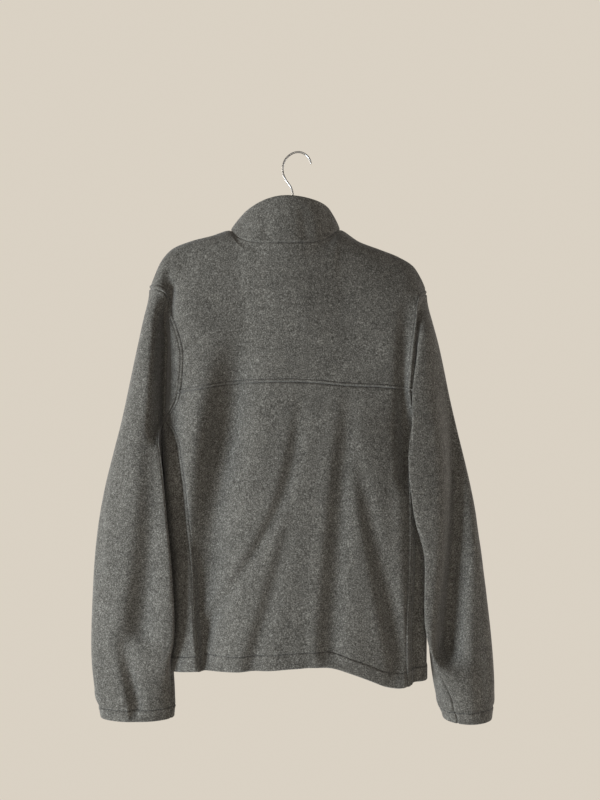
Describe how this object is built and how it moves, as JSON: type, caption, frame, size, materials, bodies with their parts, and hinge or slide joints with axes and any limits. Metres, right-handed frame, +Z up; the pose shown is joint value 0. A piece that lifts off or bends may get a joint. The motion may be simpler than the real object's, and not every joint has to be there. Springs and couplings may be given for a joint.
{
  "type": "fleece zip jacket on a hanger",
  "caption": "Long-sleeved fleece jacket with back yoke, side panels, stand-up collar and front zip, hanging on a wooden hanger with a wire hook.",
  "frame": {"origin": "inside top of the hook's bend, where the hook rests on its nail or rail", "axes": "+Z up, +X to the wearer's left, +Y to the jacket's back, so the zip faces -Y"},
  "size_m": [0.6353, 0.1272, 0.8961],
  "materials": {
    "grey_fleece": "heather-grey melange fleece, brushed, matt",
    "zip_tape": "woven tape with a moulded coil chain",
    "zip_metal": "dark nickel-plated zinc",
    "wood": "clear-lacquered beech",
    "steel_wire": "bright plated wire"
  },
  "bodies": {
    "jacket": {"back_body": "grey_fleece", "back_yoke": "grey_fleece", "collar": "grey_fleece", "front_left": "grey_fleece", "front_right": "grey_fleece", "hanger_body": "wood", "hanger_hook": "steel_wire", "side_left": "grey_fleece", "side_right": "grey_fleece", "sleeve_left": "grey_fleece", "sleeve_right": "grey_fleece", "slider": "zip_metal", "zip": "zip_tape"},
    "pull_tab": {"pull_tab": "zip_metal"}
  },
  "joints": [
    {"name": "pull_tab_swing", "type": "hinge", "parent": "jacket", "child": "pull_tab", "pos_m": [0.0176, -0.06323, -0.14946], "axis": [-1, 0, 0], "range_deg": [0, 150]}
  ]
}
